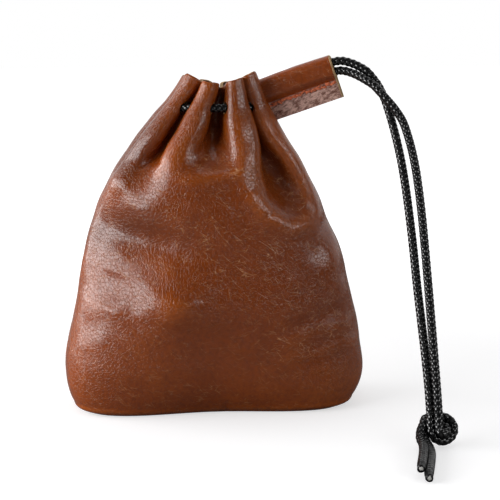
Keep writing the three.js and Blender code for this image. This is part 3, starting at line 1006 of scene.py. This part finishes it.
def cut_away(piece, cutter):
    """Cuts the cutter out of the piece and deletes the cutter."""
    cut = piece.modifiers.new("cut", "BOOLEAN")
    cut.operation = "DIFFERENCE"
    cut.solver = "EXACT"
    cut.material_mode = "TRANSFER"
    cut.object = cutter
    shapes = bpy.context.evaluated_depsgraph_get()
    whole = piece.data
    piece.data = bpy.data.meshes.new_from_object(piece.evaluated_get(shapes))
    piece.modifiers.clear()
    bpy.data.meshes.remove(whole)
    bpy.data.objects.remove(cutter)


def plain_tube(route, radius, sides):
    """Corners and faces of a smooth tube with flat ends."""
    corners = tube_skin(route, radius, sides)
    faces = grid_faces(0, len(route), sides)
    last = len(corners) - sides
    return corners, [*faces, tuple(range(sides))[::-1], tuple(range(last, last + sides))]


punch = plain_tube(smooth_route(drawcord_points(), punch_step), hole_radius, punch_sides)
cut_away(bag, add_piece("punch", *punch, [cut_edge]))
print("after punching the bag has", len(bag.data.polygons), "faces")

drawcord_route = smooth_route(drawcord_points(), braid_step)
drawcord = cord_piece("drawcord", [braided_tube(drawcord_route)], waxed_black)
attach(drawcord, "root")
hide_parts("drawcord_loop")
print("drawcord is", round(route_length(drawcord_route), 1), "mm long")

# %% [markdown]
# ## Where the leather is stretched and crumpled, and where shade is painted
# The finish needs to know which corners are crests. A crest corner stands out from the average of
# its neighbours, so the mesh is averaged a few times and the difference along the facing is the
# bend. It is worked out from the finished skin, holes and all, and stored for the material to read.
# Where the creases are thickest can't be worked out, so a short table says it, and a second one
# says where the colour is darkened as painted shade, in hollows and by the mouth.

# %% Stretch, crumple and painted shade
average_times = 14         # rounds of averaging that the bend is measured against
bend_times = 4             # rounds that even out the bend itself
stretch_range = (-0.6, 1.0)
bag_full_bend = 0.55


def neighbour_average(mesh, values, times):
    """Averages values over each corner's neighbours, several times."""
    edges = np.empty(len(mesh.edges) * 2, np.int64)
    mesh.edges.foreach_get("vertices", edges)
    first, second = edges.reshape(-1, 2).T
    count = np.bincount(first, minlength=len(values)) + np.bincount(second, minlength=len(values))
    count = np.maximum(count, 1)
    for _ in range(times):
        total = np.zeros_like(values)
        np.add.at(total, first, values[second])
        np.add.at(total, second, values[first])
        values = total / (count[:, None] if values.ndim == 2 else count)
    return values


def corner_places(mesh):
    places = np.empty(len(mesh.vertices) * 3)
    mesh.vertices.foreach_get("co", places)
    return places.reshape(-1, 3) / MM


def corner_facings(mesh):
    facing = np.empty(len(mesh.vertices) * 3, np.float32)
    mesh.corner_normals    # reading this makes Blender work the directions out
    mesh.vertices.foreach_get("normal", facing)
    return facing.reshape(-1, 3)


def store_bends(piece, full_bend):
    """Stores stretch, 1 where the surface stands out by full_bend millimetres or more."""
    places = corner_places(piece.data)
    smooth = neighbour_average(piece.data, places, average_times)
    bend = ((places - smooth) * corner_facings(piece.data)).sum(axis=1)
    bend = neighbour_average(piece.data, bend, bend_times)
    stretch = np.clip(bend / full_bend, *stretch_range)
    add_value(piece, "stretch", stretch)
    return stretch


# where the leather has been crumpled most: from and to, across and up
place_names = ("from_x", "from_z", "to_x", "to_z", "reach", "strength")
crumpled_places = [dict(zip(place_names, row)) for row in (
    (-16, 80, 12, 56, 2.4, 1.1),
    (-6, 100, 14, 98, 4.0, 0.8),
    (4, 68, 22, 62, 17, 0.45),
    (30, 52, 44, 46, 14, 0.35),
    (24, 28, 52, 36, 7, 0.7),
    (24, 100, 34, 84, 6, 0.6),
    (-44, 62, -24, 56, 14, 0.2),
)]
# where the colour is darkened as painted shade: in hollows and at the mouth
painted_shade_places = [dict(zip(place_names, row)) for row in (
    (-36, 98, -20, 132, 8.0, 1.0),
    (-16, 114, 24, 128, 10.0, 0.45),
    (-46, 72, -30, 77, 9.0, 0.8),
    (-26, 78, -14, 70, 6.0, 0.3),
    (14, 112, 30, 86, 5.0, 0.3),
)]


def near_places(piece, table):
    """For each corner, the strength of the strongest place there; each fades over its reach."""
    x, _, z = corner_places(piece.data).T
    found = np.zeros(len(x))
    for place in table:
        _, off, _ = beside_line(x, z, place)
        found = np.maximum(found, place["strength"] * np.exp(-((off / place["reach"]) ** 2)))
    return found


stretch = store_bends(bag, bag_full_bend)
add_value(bag, "crumple", near_places(bag, crumpled_places))
# painted shade, stored for the leather to darken these places
add_value(bag, "painted_shade", near_places(bag, painted_shade_places))
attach(bag, "root")
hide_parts("pouch_bag")
print("stretch from", round(float(stretch.min()), 2), "to", round(float(stretch.max()), 2))

# %% [markdown]
# ## The keeper
# A strip of the same leather is folded over the two cords and its edges are sewn together below
# them. Drawn as a sheet, its section runs up the back, over the cords and down the front, so the
# two layers of the flange and their pale cut edges come out by themselves. The fold is polished by
# handling. The flange is rough, because the maker scuffed it before sewing, and its ends are cut at
# a slant.

# %% Keeper
keeper_gap = 0.3           # between a cord and the leather
keeper_flange = 7.0
keeper_layer_gap = 0.08    # between the flange's two layers
neck_drop = 0.2            # the layers meet this far below the lower cord's channel
keeper_rows = 90
flange_steps, bulge_steps, side_steps, arc_steps = 14, 12, 6, 22
mouth_slant = 0.45         # widths of the slanted cuts at the mouth, the inner end and the foot
inner_slant = 0.4
foot_slant = 0.5
end_thin = 0.35            # share of the wall that is lost at both ends
foot_thin = 0.45           # what is lost at the foot
keeper_bow = 0.35          # the fold is highest half way and lower at its ends
keeper_sag = 0.25
bow_fade = (-2.0, 4.0)     # heights between which the bow grows, so the flange stays straight
ripple = 0.16
ripple_along, ripple_across = 7, 5
scuff_edge = (-0.8, 1.2)   # the scuffed part ends between these, measured from the flange's top


def keeper_section():
    """The middle line of the folded strip, from back foot to front foot, and the way out of it."""
    middle = cord_radius + keeper_gap + keeper_wall / 2
    rise = run_pitch / 2
    foot = -rise - middle - keeper_wall / 2 - keeper_flange
    neck = -rise - middle - neck_drop
    flat = keeper_wall / 2 + keeper_layer_gap
    steps = (flange_steps, bulge_steps, side_steps)
    flange, bulge, side = (np.linspace(0, 1, count, endpoint=False) for count in steps)
    half = [(flat, foot + (neck - foot) * t) for t in flange]
    half += [(flat + (middle - flat) * ease(t, 0, 1), neck + (-rise - neck) * t) for t in bulge]
    half += [(middle, -rise + 2 * rise * t) for t in side]
    turns = np.linspace(0, math.pi, arc_steps)
    arc = [(middle * math.cos(turn), rise + middle * math.sin(turn)) for turn in turns]
    line = np.vstack([half, arc, np.array(half)[::-1] * np.array([-1, 1])])
    ahead = np.gradient(line, axis=0)
    ahead /= np.linalg.norm(ahead, axis=1)[:, None]
    return line, np.column_stack([ahead[:, 1], -ahead[:, 0]])


def keeper_mesh():
    """Corners, faces, a material number for each face, and for each corner how scuffed it is."""
    line, outward = keeper_section()
    count = len(line)
    from_foot = line[:, 1] - line[:, 1].min()
    scuffed = 1 - ease(from_foot - keeper_flange, *scuff_edge)
    near_foot = 1 - ease(from_foot, 0.0, foot_slant)
    places = np.linspace(0, keeper_length, keeper_rows)
    outer, inner = [], []
    for place in places:
        near_mouth = 1 - ease(place, 0.0, mouth_slant)
        near_end = 1 - ease(keeper_length - place, 0.0, inner_slant)
        thin = keeper_wall * end_thin * (near_mouth + near_end) + foot_thin * near_foot
        spots = [Vector((place / ripple_along, *point)) for point in line / ripple_across]
        wave = np.array([noise.noise(spot) for spot in spots])
        bow = keeper_bow * math.sin(math.pi * place / keeper_length) - keeper_sag
        lift = bow * ease(line[:, 1], *bow_fade)
        out = line + outward * (keeper_wall / 2 - thin + ripple * wave)[:, None]
        inn = line - outward * (keeper_wall / 2)
        for layer, ring in ((outer, out), (inner, inn)):
            layer.append(in_keeper(place, ring[:, 0, None], (ring[:, 1] + lift)[:, None]))
    corners = np.vstack(outer + inner)
    second = keeper_rows * count
    faces = grid_faces(0, keeper_rows, count, closed=False)
    slanted = (places < mouth_slant) | (places > keeper_length - inner_slant)
    kinds = np.repeat(slanted[:-1], count - 1).astype(int).tolist()
    faces += grid_faces(second, keeper_rows, count, closed=False, flip=True)
    for row in range(keeper_rows - 1):
        for column, flip in ((0, True), (count - 1, False)):
            a = row * count + column
            quad = (a, a + count, second + a + count, second + a)
            faces.append(quad[::-1] if flip else quad)
    for row, flip in ((0, False), (keeper_rows - 1, True)):
        for column in range(count - 1):
            a = row * count + column
            quad = (a, second + a, second + a + 1, a + 1)
            faces.append(quad[::-1] if flip else quad)
    kinds += [1] * (len(faces) - len(kinds))
    return corners, faces, kinds, np.tile(scuffed, keeper_rows * 2)


# %% [markdown]
# The flange's finish is the same leather with most of its polish rubbed off. One stored number, 1
# on the flange, turns the polished leather into the scuffed one, so the change runs softly over the
# stitch line.

# %% Keeper piece
corners, faces, kinds, scuff = keeper_mesh()
keeper = add_piece("keeper", corners, faces, [keeper_leather, cut_edge], kinds)
add_value(keeper, "scuff", scuff)
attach(keeper, "root")
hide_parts("cord_keeper")

# %% [markdown]
# ## The stitches
# The flange is sewn with a rust-orange thread, by hand and not very evenly: the stitches differ in
# length and slant, and the thread has frayed. Each stitch is a short arched bead of thread that
# dives into the leather at both ends. The same row shows on the back of the flange.

# %% Stitches
stitch_pitch = 2.25
stitch_gap = 0.3
stitch_range = (0.8, 1.1)  # shares of stitch_pitch that a stitch may take
stitch_slip = 0.25         # how far it may lie off the line
stitch_steps = 7
first_stitch = 1.2         # from the mouth
last_stitch = 0.8          # from the other end
stitch_plies = 3           # the thread has come apart into this many strands
ply_slant = 1.1            # how far the thread's strands lean and spread
ply_spread = 0.4
arch_first = 0.34          # height of the first strand, and how much higher the next ones are
arch_next = 0.14
thread_dive = 0.10         # the ends lie this deep in the leather
thread_radius = 0.32
thread_sides = 10
thread_pale = (0.92, 0.28, 0.12, 1)
thread_deep = (0.55, 0.11, 0.045, 1)
stitch_drop = 0.55         # below the fold
stitch_line = -run_pitch / 2 - cord_radius - keeper_gap - keeper_wall - stitch_drop


def stitch_row(side, seed):
    """Routes of all the stitches on one face of the flange; side is -1 in front and 1 behind."""
    chance = np.random.default_rng(seed)
    surface = side * (keeper_wall + keeper_layer_gap)
    routes = []
    place = first_stitch
    while place + stitch_pitch < keeper_length - last_stitch:
        length = stitch_pitch * chance.uniform(*stitch_range) - stitch_gap
        slip = chance.uniform(-stitch_slip, stitch_slip)
        for ply in range(stitch_plies):
            slant = chance.uniform(-ply_slant, ply_slant)
            spread = chance.uniform(-ply_spread, ply_spread)
            t = np.linspace(0, 1, stitch_steps)[:, None]
            arch = np.sin(math.pi * t) * (arch_first + arch_next * ply) - thread_dive
            up = stitch_line + slip + spread + slant * (t - 0.5)
            routes.append(in_keeper(place + length * t, surface + side * arch, up))
        place += length + stitch_gap
    return routes


thread = fibrous("rust_thread", thread_pale, thread_deep, fibre=0.35, roughness=0.55)
front, back = stitch_row(-1, 5), stitch_row(1, 8)
tubes = [plain_tube(route, thread_radius, thread_sides) for route in [*front, *back]]
stitches = add_piece("keeper_stitches", *joined(tubes), [thread])
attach(stitches, "root")
print("keeper has", len(front) // stitch_plies, "and", len(back) // stitch_plies, "stitches")

# %% [markdown]
# ## The knot
# Both ends are tied together in one overhand knot. Side by side they come down in front, turn right
# near the table, go up round the right and behind themselves to the left, and come down and forward
# as two short tails on the table. The pair's way is a short list, and each place also
# says how far and which way one cord lies from the middle of the pair, because the pair rolls over
# as it turns.

# %% Knot
# x, y, z of the pair's middle, then the step from there to the front cord; the other lies opposite
knot_pair = np.array([
    (76.0, -69.2, 11.2, 1.20, -1.20, 0.00),
    (75.8, -70.3, 8.80, 1.35, -0.95, 0.10),
    (75.7, -71.6, 6.30, 1.40, -0.70, 0.45),
    (76.6, -72.6, 4.40, 1.00, -0.60, 1.10),
    (78.8, -72.4, 3.50, 0.05, -0.50, 1.50),
    (81.2, -70.9, 4.30, -1.05, -0.50, 1.05),
    (82.0, -68.9, 6.20, -1.55, -0.40, 0.10),
    (80.8, -67.3, 7.80, -1.05, -0.50, -1.05),
    (78.2, -66.2, 8.30, -0.10, -0.40, -1.50),
    (75.4, -65.6, 8.00, 0.10, -0.30, -1.55),
    (73.2, -66.6, 7.30, 0.10, -0.30, -1.55),
    (72.2, -69.0, 6.20, 0.20, -0.40, -1.50),
    (71.2, -71.4, 4.70, 0.70, -0.40, -1.35),
    (70.9, -74.4, 3.20, 1.25, -0.30, -1.00),
    (70.9, -78.4, 2.65, 1.32, -0.20, -0.90),
    (70.1, -83.6, 2.60, 1.32, -0.30, -0.88),
    (68.3, -91.0, 2.60, 1.32, -0.35, -0.88),
    (66.2, -98.6, 2.60, 1.32, -0.40, -0.88),
    (64.0, -106.4, 2.60, 1.32, -0.40, -0.88),
])
tail_extra = np.array([-0.8, -4.0, 0.0])    # the front cord's tail is a little longer
sealed_length = 4.5


def knot_tubes():
    """The front cord's tube and the back cord's, each melted smooth at its end."""
    tubes = []
    for side in (1, -1):
        points = knot_pair[:, :3] + side * knot_pair[:, 3:]
        if side == 1:
            points = np.vstack([points, points[-1] + tail_extra])
        route = smooth_route(points, braid_step)
        tubes.append(braided_tube(route, route_length(route) - sealed_length))
    return tubes


knot = cord_piece("knot", knot_tubes(), waxed_black)
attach(knot, "root")
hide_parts("end_knot")

# %% [markdown]
# For each free end, the place where it leaves the keeper is worked out and its length is given, and
# nothing uses them.

for name, side in (("cord_back_end", 1), ("cord_front_end", -1)):
    tuple(run_point(side, 0) * MM)
    0.153 if side == 1 else 0.151

# %% [markdown]
# ## Table and light
# The photograph was taken on a white table with white all round. A large plane a hair below the bag
# stands for the table. It is only grey to the leather, and the white that the camera sees is partly
# a glow that no other ray meets, so the shadow stays soft and the leather isn't lit from below.

# %% Floor
floor_drop = 0.2
floor_half = 3000
floor_unseen = (0.26, 0.26, 0.26, 1)    # what all rays but the camera's meet
floor_seen = (0.62, 0.62, 0.63, 1)
glow_near = (0.57, 0.57, 0.57, 1)
glow_far = (0.90, 0.90, 0.90, 1)
glow_from, glow_to = 130 * MM, 400 * MM

floor_finish = Finish("white_table")
seen = floor_finish.node("ShaderNodeLightPath", output="Is Camera Ray")
away = floor_finish.vectors("LENGTH", {0: floor_finish.place}, "Value")
glow = floor_finish.mix(away.smooth(glow_from, glow_to), glow_near, glow_far)
floor_finish.set(base_color=floor_finish.mix(seen, floor_unseen, floor_seen))
floor_finish.set(roughness=0.9, specular_ior_level=0.0)
floor_finish.set(emission_color=floor_finish.mix(seen, (0, 0, 0, 1), glow), emission_strength=1.0)
ways = ((-1, -1), (1, -1), (1, 1), (-1, 1))
corners = [(x * floor_half, y * floor_half, -floor_drop) for x, y in ways]
floor = add_piece("table_top", corners, [(0, 1, 2, 3)], [floor_finish.material])

# %% [markdown]
# The highlights tell where the lights stood. A soft box low at the left, more than a metre long,
# draws the broad pinkish patches and every left flank. A smaller one in front at the right, half as
# bright, lights the right flanks, and a narrow dim one overhead lights what faces up. The front of
# the room is dark, which keeps the middle of the bag deep brown, and the white wall behind shows as
# a thin bright line where the sides turn away.

# %% Lights
light_aim = (0, -10, 60)
# turn and height in degrees, distance, length and width in millimetres, brightness
soft_boxes = {
    "window_left": (-84, 17, 750, 1120, 400, 6.0),
    "panel_right": (50, 20, 750, 700, 200, 3.0),
    "ceiling": (0, 84, 800, 520, 160, 1.5),
}


def soft_box(name, turn, height, distance, length, width, brightness):
    """An area light that faces the bag: turn is 0 in front and 90 at the right."""
    lamp = bpy.data.lights.new(name, "AREA")
    lamp.shape = "RECTANGLE"
    lamp.size, lamp.size_y = length * MM, width * MM
    lamp.energy = brightness * math.pi * lamp.size * lamp.size_y
    light = bpy.data.objects.new(name, lamp)
    outward = direction(turn, height)
    light.location = (Vector(light_aim) + outward * distance) * MM
    light.rotation_mode = "QUATERNION"
    light.rotation_quaternion = (-outward).to_track_quat("-Z", "Y")
    bpy.context.scene.collection.objects.link(light)


for name, values in soft_boxes.items():
    soft_box(name, *values)


class Room(Finish):
    """The light from all round, wired as a finish is."""

    def __init__(self, world):
        world.use_nodes = True
        self.tree = world.node_tree
        self.shader = self.tree.nodes["Background"]
        self.place = self.node("ShaderNodeTexCoord", output="Generated")


room_front = 0.05          # brightness in front, and how much brighter it is behind
room_behind = 0.80
world = bpy.data.worlds.new("white_room")
bpy.context.scene.world = world
room = Room(world)
behind = room.node("ShaderNodeSeparateXYZ", None, {0: room.place}, "Y").smooth(-0.1, 0.55)
seen = room.node("ShaderNodeLightPath", output="Is Camera Ray")
room_light = room_front + room_behind * behind
room.set(color=(1, 1, 1, 1), strength=room_light * (1 - seen) + seen)
bpy.context.scene.view_settings.view_transform = "Standard"
